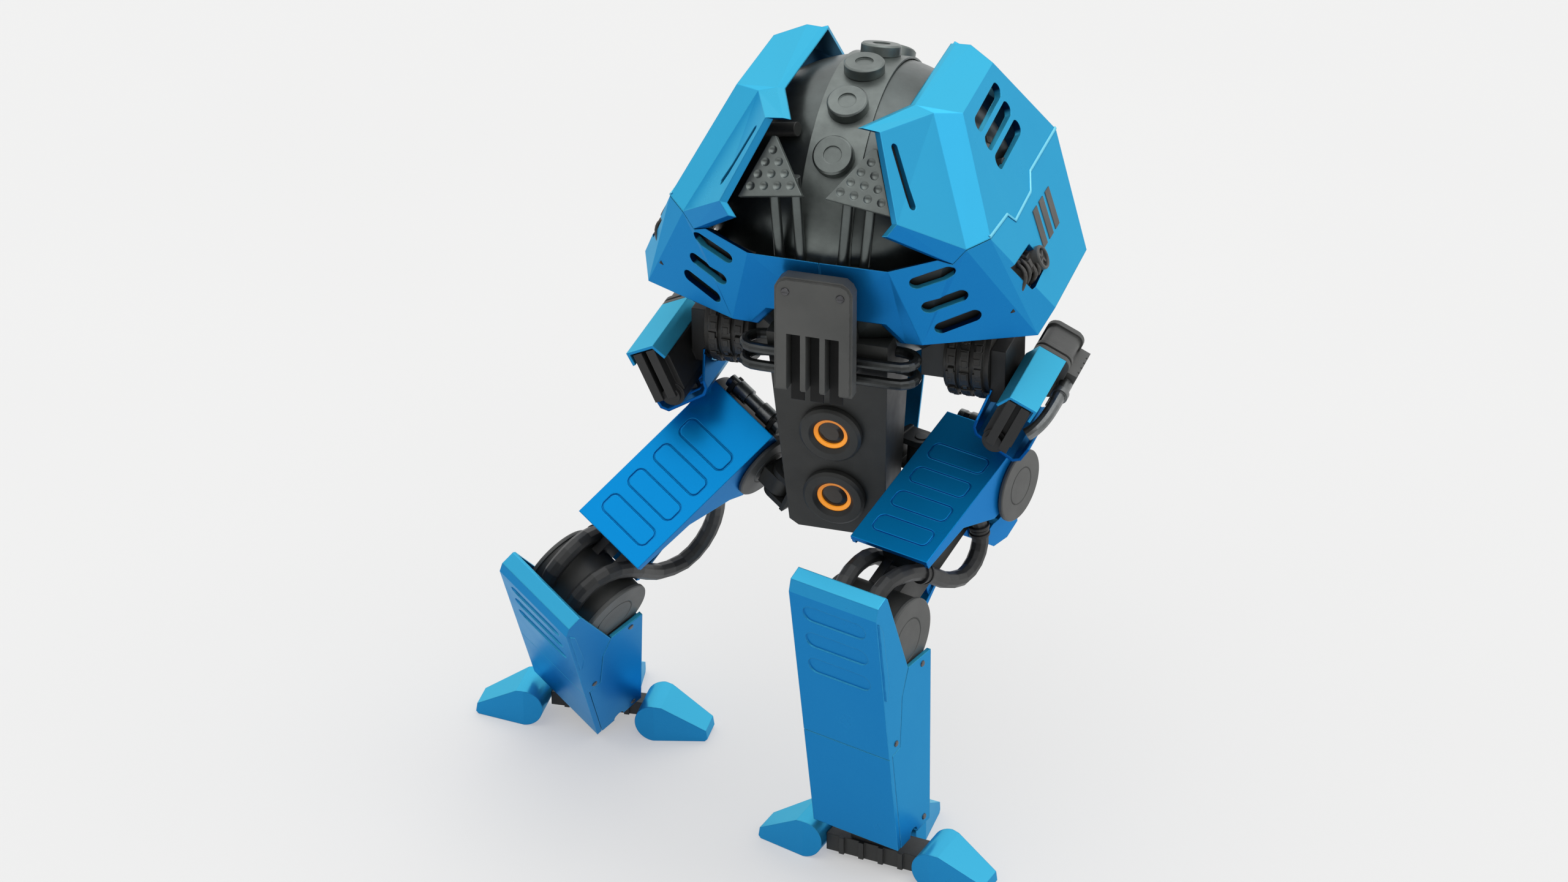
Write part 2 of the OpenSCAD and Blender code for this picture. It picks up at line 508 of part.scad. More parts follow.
module thigh_cover(s) color(blue) thigh(s) {
  difference() {
    union() {
      translate([-thigh_half, 0, 0]) rotate([90, 0, 90]) linear_extrude(2 * thigh_half)
        polygon([[-17.1, 9], [-22.4, -61], [-20.6, -61], [-15.3, 9]]);
      for (m = [0, 1]) mirror([m, 0, 0]) translate([thigh_half - 1.6, 0, 0]) rotate([90, 0, 90])
        linear_extrude(1.6) polygon([[-17.1, 9], [-22.4, -61], [-18.6, -60.5], [-14.5, -36], [1, -17],
          [4, -4], [-2, 9]]);
    }
    // four embossed outlines, square to the sheet
    for (i = [0:3]) translate([0, -17.1 - 0.0757 * (19.5 + 13.3 * i), -10.5 - 13.3 * i])
      rotate([90 - 4.33, 0, 0]) translate([0, 0, -0.6]) linear_extrude(3) dent();
    xrod(-30, 60, 6.9);
  }
  // belly piece over the knee
  translate([-7, 0, 0]) rotate([90, 0, 90]) linear_extrude(14)
    polygon([[8, -46], [10, -46.5], [17, -64], [15, -65]]);
  translate([3.4, 6, -52]) cube([3, 4, 3]);
  translate([-6.4, 6, -52]) cube([3, 4, 3]);
  // tail block behind the hip
  translate([-11, 0, 0]) rotate([90, 0, 90]) linear_extrude(22)
    polygon([[12.5, -20.5], [22.5, -14], [27, -5], [26.5, 3], [22, 4], [14, -3], [13.6, -8], [12, -12]]);
  translate([-6.5, 0, 0]) rotate([90, 0, 90]) linear_extrude(13)
    polygon([[6, -22], [10.5, -22], [13, -20], [12.5, -12], [11, -13], [6, -17]]);
}
module dent() difference() {
  dent_shape(2.8);
  dent_shape(2.25);
}
module dent_shape(r) union() {
  translate([-9 - r, -1.5]) square([18 + 2 * r, 3]);
  translate([-9, -1.5 - r]) square([18, 3 + 2 * r]);
  for (x = [-9, 9], y = [-1.5, 1.5]) translate([x, y]) circle(r = r, $fn = 24);
}
module leg_hoses(s) color([0.1, 0.1, 0.1]) thigh(s) for (x = [-1, 1])
  sweep(smooth(concat([[x * 10.5, -3, -21]], [for (q = s > 0 ? hose_path_r : hose_path_l)
    [x * q[0], q[1], q[2]]], [[x * 7.4, -22.4, -75], [x * 6.9, -21.6, -83.6], [x * 6.6, -17.6, -87.6]]), 2),
    hose_r);
// shin: front sheet at y = -22.2, rear edge leaning in
module shin_cover(s) color(blue) shin(s) difference() {
  union() {
    // front sheet with a bevelled top
    translate([-shin_half, 0, 0]) rotate([90, 0, 90]) linear_extrude(2 * shin_half)
      polygon([[-20, 30.5], [-13.7, 33.2], [-14.6, 34.6], [-20.2, 33.6], [-22.2, 29], [-22.2, -87], [-20, -87]]);
    for (m = [0, 1]) mirror([m, 0, 0]) translate([shin_half - 1.6, 0, 0]) rotate([90, 0, 90])
      linear_extrude(1.6) polygon([[-22.2, 29], [-20.2, 33.6], [-14.6, 34.6], [-13.7, 33.2], [-4.8, -8],
        [-10.3, -18], [-14.6, -39.8], [-20.6, -39.8], [-20.6, -87], [-22.2, -87]]);
    // raised trim beside the front edge
    for (m = [0, 1]) mirror([m, 0, 0]) translate([shin_half, 0, 0]) rotate([90, 0, 90])
      linear_extrude(0.5) polygon([[-21, 27], [-19, 22], [-18.2, -4], [-20.2, -11], [-21, -11]]);
  }
  // three recesses with round ends
  for (i = [0:2]) translate([0, -21.6, 21 - 12.7 * i]) rotate([90, 0, 0]) linear_extrude(3)
    recess(3.6, 9.5);
  translate([-30, -22.7, -40.2]) cube([60, 0.9, 0.4]);
}
module recess(r, l) union() {
  translate([-l, -r]) square([2 * l, 2 * r]);
  for (x = [-l, l]) translate([x, 0]) circle(r = r, $fn = 24);
}
module shin_back(s) color(blue) shin(s) difference() {
  union() {
    for (m = [0, 1]) mirror([m, 0, 0]) translate([shin_half - 1.6, 0, 0]) rotate([90, 0, 90])
      linear_extrude(1.6) polygon([[-4.3, -8.4], [10.9, -12.2], [0.5, -90], [-19.7, -87.6], [-19.7, -40.2],
        [-14.3, -40.2], [-9.9, -18]]);
    translate([-shin_half, 0, 0]) rotate([90, 0, 90]) linear_extrude(2 * shin_half)
      polygon([[10.3, -16.5], [0.5, -90], [-1.5, -89.8], [8.3, -16.8]]);
    // tongue that carries the knee pin, and its cross wall
    xrod(-2.6, 5.2, 6.6, 40);
    translate([-2.6, 0, 0]) rotate([90, 0, 90]) linear_extrude(5.2)
      polygon([[-5, -4], [4, -5], [6, -32], [-12, -32]]);
    translate([-shin_half + 0.5, -11.8, -32]) cube([2 * shin_half - 1, 19, 3]);
    // ankle webs
    for (m = [0, 1]) mirror([m, 0, 0]) {
      translate([9.5, 0, 0]) rotate([90, 0, 90]) linear_extrude(2.4)
        polygon([[-17, -30], [1, -30], [0, -84], [-6, -91.6], [-15, -91.6], [-17, -88]]);
      translate([9.5, -8, -60]) cube([8.3, 2.4, 30]);
    }
  }
  xrod(-30, 60, 3, 40);
  translate([0, ankle[1], ankle[2]]) xrod(-30, 60, 2.5, 32);
}
module shin_pins(s) color(silver) shin(s) {
  xrod(-13.9, 27.8, 3, 40);
  translate([0, ankle[1], ankle[2]]) xrod(-11.9, 23.8, 2.5, 32);
  for (m = [0, 1]) mirror([m, 0, 0]) for (q = [[4.7, -14.2], [-16.8, -36], [-3.2, -86]])
    translate([shin_half, q[0], q[1]]) rotate([0, 90, 0]) cylinder(r1 = 1.3, r2 = 1, h = 0.4, $fn = 20);
}
// ---------- feet ----------
module toe() difference() {
  intersection() {
    rotate([90, 0, 0]) translate([0, 0, -20]) linear_extrude(40) union() {
      translate([toe_h / 2, toe_h / 2]) circle(r = toe_h / 2, $fn = 40);
      polygon([[toe_h / 2, 0], [toe_len, 0], [toe_len + 1, 1], [toe_len + 0.4, 4.6],
        [toe_h / 2 + 3, toe_h - 0.4], [toe_h / 2, toe_h]]);
    }
    linear_extrude(40) polygon([[-1, -toe_w / 2 + 0.5], [toe_h / 2, -toe_w / 2], [toe_len + 2, -5.5],
      [toe_len + 2, 5.5], [toe_h / 2, toe_w / 2], [-1, toe_w / 2 - 0.5]]);
  }
}
// foot frame on the floor under the ankle, x outward
module foot(s) {
  a = s > 0 ? [27, -71.9] : [-106, -8.3];
  translate([off_x + a[0], off_y + a[1], 0]) rotate([0, 0, s > 0 ? pose_r[4] : pose_l[4]])
    scale([s, 1, 1]) children();
}
module toes(s) color(blue) foot(s) {
  translate([18.5, 0, 0]) toe();
  rotate([0, 0, 180]) translate([18.5, 0, 0]) toe();
  rotate([0, 0, s > 0 ? 88 : 96]) translate([13, 0, 0]) toe();
}
module foot_block(s) color(dark) difference() {
  b = s > 0 ? [-5, 2.5, 12, 7] : [3.5, 2.5, 7.5, 5.5];
  c = s > 0 ? [-8.6, -3, 12.4] : [1.5, 4, 8];
  union() {
    foot(s) {
      translate([-18.5, b[0], b[1]]) cube([37, b[2], b[3]]);
      rotate([0, 0, s > 0 ? -2 : 4]) translate([-5, b[0] + 1, 2.5]) cube([10, 13 - b[0] - 1, 5]);
      for (x = [-12, -4, 4, 12]) translate([x - 1, b[0] - 1, b[1]]) cube([2, 2, b[3]]);
    }
    shin(s) translate([0, ankle[1], ankle[2]]) xrod(-9.2, 18.4, 5, 40);
    hull() {
      shin(s) translate([0, ankle[1], ankle[2]]) xrod(-7, 14, 4.4, 40);
      foot(s) translate([c[0], c[1], 3]) cube([c[2], 6, 3]);
    }
  }
  shin(s) translate([0, ankle[1], ankle[2]]) xrod(-30, 60, 2.5 + fit, 32);
}

// ---------- left and right copies ----------
module arm_drum_r() arm_drum(1);
module arm_drum_l() arm_drum(-1);
module arm_body_r() arm_body(1);
module arm_body_l() arm_body(-1);
module arm_cover_r() arm_cover(1);
module arm_cover_l() arm_cover(-1);
module arm_guard_r() arm_guard(1);
module arm_guard_l() arm_guard(-1);
module arm_case_r() arm_case(1);
module arm_case_l() arm_case(-1);
module arm_pipe_r() arm_pipe(1);
module arm_pipe_l() arm_pipe(-1);
module hip_link_r() hip_link(1);
module hip_link_l() hip_link(-1);
module hip_yoke_r() hip_yoke(1);
module hip_yoke_l() hip_yoke(-1);
module thigh_frame_r() thigh_frame(1);
module thigh_frame_l() thigh_frame(-1);
module joint_discs_r() joint_discs(1);
module joint_discs_l() joint_discs(-1);
module thigh_cover_r() thigh_cover(1);
module thigh_cover_l() thigh_cover(-1);
module leg_hoses_r() leg_hoses(1);
module leg_hoses_l() leg_hoses(-1);
module shin_cover_r() shin_cover(1);
module shin_cover_l() shin_cover(-1);
module shin_back_r() shin_back(1);
module shin_back_l() shin_back(-1);
module shin_pins_r() shin_pins(1);
module shin_pins_l() shin_pins(-1);
module foot_block_r() foot_block(1);
module foot_block_l() foot_block(-1);
module toes_r() toes(1);
module toes_l() toes(-1);

core_ball();
core_stripe();
port_discs();
armour_upper_r();
armour_upper_l();
armour_lower_r();
armour_lower_l();
armour_rear();
armour_pegs();
emitter_pads();
pad_rods();
column();
pelvis();
grille_plate();
grille_screws();
lamp_bezels();
lamp_rings();
lamp_lenses();
cross_pipes();
rear_plate();
shoulder_axles();
hip_pins();
battery_pack();
main_board();
speaker();
power_switch();
arm_drum_r();
arm_body_r();
arm_cover_r();
arm_guard_r();
arm_case_r();
arm_pipe_r();
arm_drum_l();
arm_body_l();
arm_cover_l();
arm_guard_l();
arm_case_l();
arm_pipe_l();
hip_link_r();
hip_link_l();
hip_yoke_r();
thigh_frame_r();
joint_discs_r();
thigh_cover_r();
leg_hoses_r();
shin_cover_r();
shin_back_r();
shin_pins_r();
foot_block_r();
toes_r();
hip_yoke_l();
thigh_frame_l();
joint_discs_l();
thigh_cover_l();
leg_hoses_l();
shin_cover_l();
shin_back_l();
shin_pins_l();
foot_block_l();
toes_l();
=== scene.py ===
"""Walking robot toy: materials, fine details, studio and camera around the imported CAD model."""
import json
import math

import bmesh
import bpy
from mathutils import Matrix, Vector


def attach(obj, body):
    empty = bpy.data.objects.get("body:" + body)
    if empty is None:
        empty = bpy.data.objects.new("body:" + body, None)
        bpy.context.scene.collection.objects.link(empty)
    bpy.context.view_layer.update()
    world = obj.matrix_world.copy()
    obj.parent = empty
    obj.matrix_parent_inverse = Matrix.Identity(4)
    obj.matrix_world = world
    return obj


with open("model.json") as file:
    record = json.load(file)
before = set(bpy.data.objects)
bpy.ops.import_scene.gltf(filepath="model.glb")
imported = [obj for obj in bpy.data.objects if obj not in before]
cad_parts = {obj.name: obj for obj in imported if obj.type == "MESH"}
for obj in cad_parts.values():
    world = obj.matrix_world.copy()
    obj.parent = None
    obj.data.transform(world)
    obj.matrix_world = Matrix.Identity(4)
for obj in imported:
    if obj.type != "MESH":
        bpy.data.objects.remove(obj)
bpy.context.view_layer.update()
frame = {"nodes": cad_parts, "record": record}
NODES = frame["nodes"]
TAU = 6.28318530718
MM = 0.001

# ---------- camera: the photograph's viewing angle ----------
CORE = Vector((0.036, 0.0265, 0.233))  # centre of the round core
cam_data = bpy.data.cameras.new("camera")
cam_data.lens = 120.0
cam_data.sensor_width = 36.0
cam_data.clip_start = 0.05
cam_data.clip_end = 30.0
cam = bpy.data.objects.new("camera", cam_data)
bpy.context.scene.collection.objects.link(cam)
LAMP_DROP, LAMP_STEP = 0.0711, 0.0287  # the upper lamp below the core's centre, and lamp to lamp
AZ, EL = math.radians(17.217), math.radians(28.295)
cam.location = CORE + Vector((0.4795, -1.6493, 0.8273))
cam.rotation_euler = (math.pi / 2 - EL, 0.0, AZ)
bpy.context.scene.camera = cam


# ---------- material helpers ----------
class Nodes:
    """A small wrapper that adds and links shader nodes."""

    def __init__(self, name):
        self.mat = bpy.data.materials.new(name)
        self.mat.use_nodes = True
        self.tree = self.mat.node_tree
        self.bsdf = self.tree.nodes["Principled BSDF"]

    def add(self, kind, **props):
        node = self.tree.nodes.new(kind)
        for key, value in props.items():
            setattr(node, key, value)
        return node

    def maths(self, operation, a, b=None, **values):
        """A Math node with its first socket linked, and b linked or values set on the others."""
        node = self.add("ShaderNodeMath", operation=operation)
        self.link(a, node.inputs[0])
        if b:
            self.link(b, node.inputs[1])
        for key, value in values.items():
            node.inputs[int(key[1:])].default_value = value
        return node

    def link(self, out, inp):
        self.tree.links.new(out, inp)

    def coords(self):
        return self.add("ShaderNodeTexCoord").outputs["Object"]

    def noise(self, vec, scale, detail=4.0, rough=0.55):
        n = self.add("ShaderNodeTexNoise")
        n.inputs["Scale"].default_value = scale
        n.inputs["Detail"].default_value = detail
        n.inputs["Roughness"].default_value = rough
        self.link(vec, n.inputs["Vector"])
        return n.outputs["Fac"]

    def ramp(self, fac, stops):
        r = self.add("ShaderNodeValToRGB")
        el = r.color_ramp.elements
        while len(el) < len(stops):
            el.new(0.5)
        for e, (pos, col) in zip(el, stops):
            e.position = pos
            e.color = (*col, 1)
        self.link(fac, r.inputs["Fac"])
        return r.outputs["Color"]

    def span(self, fac, lo, hi, a=0.0, b=1.0):
        m = self.add("ShaderNodeMapRange")
        m.inputs["From Min"].default_value = a
        m.inputs["From Max"].default_value = b
        m.inputs["To Min"].default_value = lo
        m.inputs["To Max"].default_value = hi
        self.link(fac, m.inputs["Value"])
        return m.outputs["Result"]

    def mix(self, fac, a, b):
        """Mixes two colours, each a linked output or a plain tuple."""
        m = self.add("ShaderNodeMix", data_type="RGBA")
        for sock, val in ((m.inputs[0], fac), (m.inputs[6], a), (m.inputs[7], b)):
            if isinstance(val, tuple):
                sock.default_value = (*val, 1)
            else:
                self.link(val, sock)
        return m.outputs[2]

    def edge(self):
        """About 1 on a sharp edge, 0 on a flat face."""
        bevel = self.add("ShaderNodeBevel", samples=6)
        bevel.inputs["Radius"].default_value = 0.0005
        geo = self.add("ShaderNodeNewGeometry")
        dot = self.add("ShaderNodeVectorMath", operation="DOT_PRODUCT")
        self.link(bevel.outputs["Normal"], dot.inputs[0])
        self.link(geo.outputs["Normal"], dot.inputs[1])
        return self.span(dot.outputs["Value"], 1.0, 0.0, 0.72, 0.965)

    def bump(self, height, strength, distance, bevel):
        b = self.add("ShaderNodeBump")
        b.inputs["Strength"].default_value = strength
        b.inputs["Distance"].default_value = distance
        self.link(height, b.inputs["Height"])
        bv = self.add("ShaderNodeBevel", samples=6)
        bv.inputs["Radius"].default_value = bevel
        self.link(bv.outputs["Normal"], b.inputs["Normal"])
        self.link(b.outputs["Normal"], self.bsdf.inputs["Normal"])


def paint(name, deep, bright, shade_inner=False):
    """Satin metallic paint with painted light: deep blue where a face is upright, a cyan painted highlight where it
    faces up, and lighter fine edges that are partly wear and partly painted highlight.

    Optionally, painted shade darkens the faces turned towards the core to a near-black blue."""
    m = Nodes(name)
    vec = m.coords()
    geo = m.add("ShaderNodeNewGeometry")
    sep = m.add("ShaderNodeSeparateXYZ")
    m.link(geo.outputs["Normal"], sep.inputs[0])
    # painted light: faces pointing up are coloured lit cyan and faces pointing down stay deep blue, plus a little
    # random variation from the noise
    painted_uplight = m.maths("MULTIPLY_ADD", m.noise(vec, 14, 3), _1=0.16)
    m.link(sep.outputs["Z"], painted_uplight.inputs[2])
    middle = tuple((d + b) / 2 for d, b in zip(deep, bright))
    base = m.ramp(m.span(painted_uplight.outputs[0], 0.0, 1.0, -0.45, 0.95), [(0.0, deep), (0.55, middle), (1.0, bright)])
    flake = m.noise(vec, 3200, 2, 0.7)
    spark = tuple(min(1.0, c * 1.5 + 0.01) for c in bright)
    base = m.mix(m.span(flake, 0.0, 0.07, 0.5, 0.8), base, spark)
    # lighter fine edges: partly wear, partly a painted highlight along the bevels
    light = tuple(min(1.0, c * 1.25 + 0.06) for c in bright)
    edge = m.maths("MULTIPLY", m.edge(), m.span(m.noise(vec, 300, 3), 0.16, 0.5, 0.35, 0.75))
    base = m.mix(edge.outputs[0], base, light)
    # painted shade: faces turned towards the core go near-black blue, as if shadowed by the armour around them
    if shade_inner:
        out = m.add("ShaderNodeVectorMath", operation="SUBTRACT")
        m.link(geo.outputs["Position"], out.inputs[0])
        out.inputs[1].default_value = tuple(CORE)
        way = m.add("ShaderNodeVectorMath", operation="DOT_PRODUCT")
        m.link(out.outputs[0], way.inputs[0])
        m.link(geo.outputs["Normal"], way.inputs[1])
        base = m.mix(m.span(way.outputs["Value"], 1.0, 0.0, -0.012, -0.002), base, (0.0, 0.022, 0.09))
    m.link(base, m.bsdf.inputs["Base Color"])
    m.link(m.span(m.noise(vec, 45, 4), 0.27, 0.33, 0.3, 0.7), m.bsdf.inputs["Roughness"])
    m.bsdf.inputs["Metallic"].default_value = 0.6
    m.bsdf.inputs["Specular IOR Level"].default_value = 0.2
    m.bsdf.inputs["Specular Tint"].default_value = (0.35, 0.9, 1.0, 1)
    m.bump(m.noise(vec, 1100, 2), 0.025, 0.0002, bevel=0.0006)
    return m.mat


def plastic(name, low, high, rough=(0.42, 0.58), grain=1400, bump=0.16, edge_tone=1.9):
    """Moulded plastic with fine grain and slightly polished edges."""
    m = Nodes(name)
    vec = m.coords()
    base = m.ramp(m.noise(vec, 34, 5), [(0.3, low), (0.72, high)])
    lit = tuple(min(1.0, c * edge_tone + 0.012) for c in high)
    edge = m.maths("MULTIPLY", m.edge(), m.span(m.noise(vec, 380, 3), 0.0, 0.75, 0.35, 0.7))
    base = m.mix(edge.outputs[0], base, lit)
    m.link(base, m.bsdf.inputs["Base Color"])
    m.link(m.span(m.noise(vec, 70, 4), rough[0], rough[1], 0.3, 0.7), m.bsdf.inputs["Roughness"])
    m.bump(m.noise(vec, grain, 4, 0.65), bump, 0.0002, bevel=0.0005)
    return m.mat


def lamp(name):
    """Translucent orange light guide with painted shade: each ring is coloured darker towards its top, where the
    bezel shades it, and brightest at its foot.
    """
    m = Nodes(name)
    sep = m.add("ShaderNodeSeparateXYZ")
    vec = m.coords()
    m.link(vec, sep.inputs[0])
    # painted shade: a sine in height, one period per lamp, darkens the top of each ring
    turn = m.maths("MULTIPLY_ADD", sep.outputs["Z"], _1=TAU / LAMP_STEP, _2=-(CORE.z - LAMP_DROP) * TAU / LAMP_STEP)
    ring_shade = m.maths("SINE", turn.outputs[0])
    base = m.ramp(m.span(ring_shade.outputs[0], 1.0, 0.0, -1.0, 1.0),
                  [(0.1, (0.30, 0.075, 0.006)), (0.5, (0.75, 0.22, 0.012)), (0.85, (1.0, 0.38, 0.02))])
    base = m.mix(m.span(m.noise(vec, 700, 3), 0.0, 0.25), base, (0.85, 0.25, 0.01))
    m.link(base, m.bsdf.inputs["Base Color"])
    m.link(m.span(m.noise(vec, 200, 3), 0.22, 0.32, 0.3, 0.7), m.bsdf.inputs["Roughness"])
    m.bump(m.noise(vec, 900, 2), 0.05, 0.0002, bevel=0.0003)
    return m.mat


def metal(name, low, high, rough=(0.22, 0.42)):
    """Grey metal with a cloudy, slightly worn surface."""
    m = Nodes(name)
    vec = m.coords()
    base = m.ramp(m.noise(vec, 120, 6, 0.6), [(0.3, low), (0.68, high)])
    m.link(base, m.bsdf.inputs["Base Color"])
    m.bsdf.inputs["Metallic"].default_value = 0.9
    m.link(m.span(m.noise(vec, 300, 4), rough[0], rough[1], 0.3, 0.7), m.bsdf.inputs["Roughness"])
    m.bump(m.noise(vec, 700, 4), 0.12, 0.0002, bevel=0.0004)
    return m.mat


PLASTICS = {
    "dark_plastic": ((0.016, 0.017, 0.016), (0.030, 0.031, 0.029)),
    "grey_plastic": ((0.060, 0.062, 0.060), (0.088, 0.090, 0.086)),
    "black_plastic": ((0.010, 0.010, 0.010), (0.018, 0.018, 0.018)),
    "lamp_lens": ((0.022, 0.016, 0.012), (0.045, 0.034, 0.026), (0.16, 0.26), 500, 0.05),
    "hose_rubber": ((0.012, 0.013, 0.013), (0.024, 0.025, 0.025), (0.38, 0.5), 2200, 0.2),
    "board": ((0.008, 0.06, 0.022), (0.014, 0.09, 0.035), (0.3, 0.45)),
    # near-black used only as painted shade in recessed slots
    "soft_black": ((0.0012, 0.0012, 0.0012), (0.003, 0.003, 0.003), (0.7, 0.8), 800, 0.2, 1.0),
    "cast_metal": ((0.014, 0.014, 0.013), (0.055, 0.052, 0.046), (0.34, 0.5), 320, 0.7, 2.6),
}
METALS = {
    "metal_pipe": ((0.13, 0.14, 0.14), (0.24, 0.25, 0.25)),
    "steel": ((0.07, 0.07, 0.075), (0.14, 0.14, 0.145)),
    "core_metal": ((0.105, 0.118, 0.115), (0.130, 0.148, 0.145), (0.30, 0.36)),
    "pad_metal": ((0.15, 0.168, 0.162), (0.20, 0.225, 0.215), (0.34, 0.42)),
    "pipe_dark": ((0.045, 0.048, 0.048), (0.085, 0.09, 0.09), (0.28, 0.4)),
}
PAINTS = {
    "blue_paint": ((0.0, 0.16, 0.52), (0.055, 0.47, 0.74)),
    "deep_blue_paint": ((0.0, 0.06, 0.30), (0.004, 0.16, 0.50)),
    # light cyan painted highlight colours for the seam strip
    "trim_paint": ((0.08, 0.50, 0.80), (0.30, 0.80, 0.95)),
    # a darker, bluer copy of the blue paint: painted shade for the thighs, which lie in the body's shadow
    "thigh_paint": ((0.0, 0.13, 0.50), (0.003, 0.30, 0.74)),
    # the armour's copy adds painted shade on its faces turned towards the core
    "armour_paint": ((0.0, 0.155, 0.52), (0.05, 0.47, 0.74), True),
}
MAT = {"orange_lamp": lamp("orange_lamp")}
for make, table in ((paint, PAINTS), (plastic, PLASTICS), (metal, METALS)):
    for name, values in table.items():
        MAT[name] = make(name, *values)
glow = MAT["orange_lamp"].node_tree.nodes["Principled BSDF"]
glow.inputs["Emission Color"].default_value = (1.0, 0.33, 0.02, 1)
glow.inputs["Emission Strength"].default_value = 0.45

# CAD nodes whose look differs from their material slot's; the thigh covers' and the armour's looks carry painted
# shade
LOOK = {"core_ball": "core_metal", "core_stripe": "pad_metal", "port_discs": "pad_metal",
        "armour_rear": "armour_paint", "emitter_pads": "pad_metal", "pad_rods": "core_metal", "cross_pipes": "pipe_dark"}
for tag in ("_r", "_l"):
    LOOK.update({"thigh_cover" + tag: "thigh_paint", "arm_drum" + tag: "cast_metal",
                 "arm_body" + tag: "black_plastic", "armour_upper" + tag: "armour_paint",
                 "armour_lower" + tag: "armour_paint"})
SLOT = {s["node"]: s["material_slot"] for s in frame["record"]["subparts"]}
for name, obj in NODES.items():
    obj.data.materials.clear()
    obj.data.materials.append(MAT[LOOK.get(name, SLOT[name])])

# ---------- fine details, placed from the core's centre in millimetres ----------
BACK = Vector((0, 1, 0))
SIDE_N = Vector((0.896, 0, 0.444)).normalized()
CHEEK_N = Vector((0.764, -0.326, 0.557)).normalized()
GRILLE_X = (-7.2, 0.0, 7.2)
SEAM = ((59.5, -48, 17.9), (60, -26.5, 17), (62, -22.3, 12.9), (61.5, 0.5, 13.8), (59.3, 7.7, 18.4), (59, 45, 19))
SIDE_V = Vector((-0.444, 0, 0.896)).normalized()


def at(x, y, z, side=1):
    """A point given in millimetres from the core's centre, mirrored when side is -1."""
    return CORE + Vector((side * x, y, z)) / 1000


def piece(name, bm, look, body):
    """Makes one detail piece from a bmesh and lets it ride on a body."""
    bmesh.ops.recalc_face_normals(bm, faces=bm.faces)
    data = bpy.data.meshes.new(name)
    bm.to_mesh(data)
    bm.free()
    data.materials.append(MAT[look])
    obj = bpy.data.objects.new(name, data)
    bpy.context.scene.collection.objects.link(obj)
    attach(obj, body)
    return obj


def ribbon(bm, pts, normal, up, width, rise):
    """A bevelled trim strip along pts, width wide towards up."""
    rows = []
    for p in pts:
        rows.append([bm.verts.new(p + up * (w * width) + normal * h) for w, h in
                     ((0, -0.0002), (0.0, rise * 0.4), (0.45, rise), (0.8, rise * 0.8), (1.0, -0.0002))])
    for a, b in zip(rows, rows[1:]):
        for i in range(5):
            bm.faces.new((a[i], a[(i + 1) % 5], b[(i + 1) % 5], b[i]))
    bm.faces.new(rows[0])
    bm.faces.new(rows[-1][::-1])


def plate(bm, pts, normal, low, high, inset=0.0003):
    """A flat plate with a small chamfer, from height low to high over its outline."""
    mid = sum(pts, Vector()) / len(pts)
    rings = []
    for h, k in ((low, 0.0), (high - inset, 0.0), (high, inset)):
        rings.append([bm.verts.new(p + (mid - p).normalized() * k + normal * h) for p in pts])
    n = len(pts)
    for a, b in zip(rings, rings[1:]):
        for i in range(n):
            bm.faces.new((a[i], a[(i + 1) % n], b[(i + 1) % n], b[i]))
    bm.faces.new(rings[-1])
    bm.faces.new(rings[0][::-1])


def lathe(bm, o, axis, profile, n=32):
    """Turns a profile of (radius, height) pairs round an axis."""
    axis = axis.normalized()
    u = axis.orthogonal().normalized()
    v = axis.cross(u)
    rows = []
    for r, h in profile:
        rows.append([bm.verts.new(o + axis * h + (u * math.cos(TAU * i / n)
                     + v * math.sin(TAU * i / n)) * max(r, 0.00001)) for i in range(n)])
    for a, b in zip(rows, rows[1:]):
        for i in range(n):
            bm.faces.new((a[i], a[(i + 1) % n], b[(i + 1) % n], b[i]))
    bm.faces.new(rows[0][::-1])
    bm.faces.new(rows[-1])


def tube(bm, pts, r, n=12):
    """A round tube through pts, smoothed."""
    for _ in range(2):
        cut = [q for a, b in zip(pts, pts[1:]) for q in (a.lerp(b, 0.25), a.lerp(b, 0.75))]
        pts = [pts[0]] + cut + [pts[-1]]
    rows = []
    ref = (pts[-1] - pts[0]).orthogonal().normalized()
    for i, p in enumerate(pts):
        t = (pts[min(i + 1, len(pts) - 1)] - pts[max(i - 1, 0)]).normalized()
        u = (ref - t * ref.dot(t)).normalized()
        v = t.cross(u)
        rows.append([bm.verts.new(p + (u * math.cos(TAU * k / n)
                     + v * math.sin(TAU * k / n)) * r) for k in range(n)])
    for a, b in zip(rows, rows[1:]):
        for k in range(n):
            bm.faces.new((a[k], a[(k + 1) % n], b[(k + 1) % n], b[k]))
    bm.faces.new(rows[0][::-1])
    bm.faces.new(rows[-1])


def rnd(i, k=1.0):
    """A fixed number between 0 and 1 for detail i."""
    return (math.sin(i * 12.9898 + k * 78.233) * 43758.5453) % 1.0


def flip(v, side):
    return Vector((side * v.x, v.y, v.z))


def patch(c, e, f, a, b):
    """Four corners of a rectangle round c, reaching a along e and b along f."""
    return [c - e * a - f * b, c + e * a - f * b, c + e * a + f * b, c - e * a + f * b]


